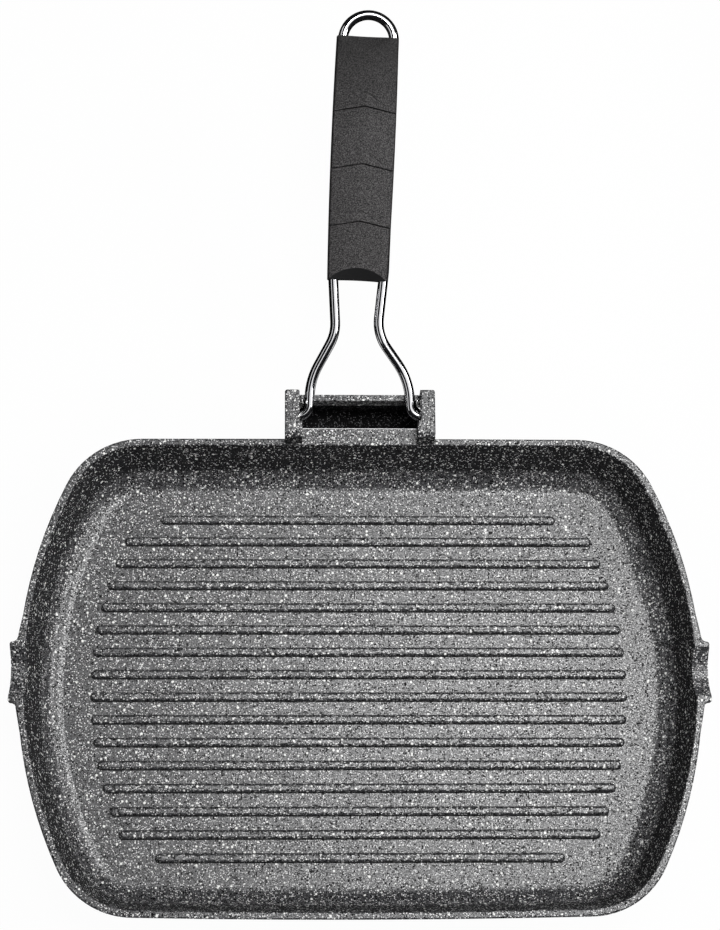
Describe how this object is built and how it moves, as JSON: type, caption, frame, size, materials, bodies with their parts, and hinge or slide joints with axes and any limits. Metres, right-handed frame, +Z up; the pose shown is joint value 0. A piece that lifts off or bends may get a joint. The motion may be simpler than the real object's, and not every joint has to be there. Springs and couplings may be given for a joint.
{
  "type": "rectangular grill pan",
  "caption": "Rectangular ribbed grill pan with a pouring spout on each short side and a wire handle with a soft sleeve that folds over the pan.",
  "frame": {"origin": "middle of the flat face under the pan that it rests on", "axes": "+X along the ribs to the right-hand spout, +Y across the ribs to the handle's bracket, +Z up out of the pan"},
  "size_m": [0.412, 0.5383, 0.112],
  "materials": {
    "stone_coating": "cast aluminium with a satin grey non-stick coating, speckled like stone",
    "handle_wire": "bright plated wire",
    "sleeve": "matte dark grey silicone",
    "stud_steel": "plain domed steel"
  },
  "bodies": {
    "pan": {"pan_body": "stone_coating", "left_stud": "stud_steel", "right_stud": "stud_steel"},
    "handle": {"wire_handle": "handle_wire", "grip_sleeve": "sleeve"}
  },
  "joints": [
    {"name": "handle_fold", "type": "hinge", "parent": "pan", "child": "handle", "pos_m": [0, 0.1568, 0.046], "axis": [1, 0, 0], "range_deg": [0, 167]}
  ]
}
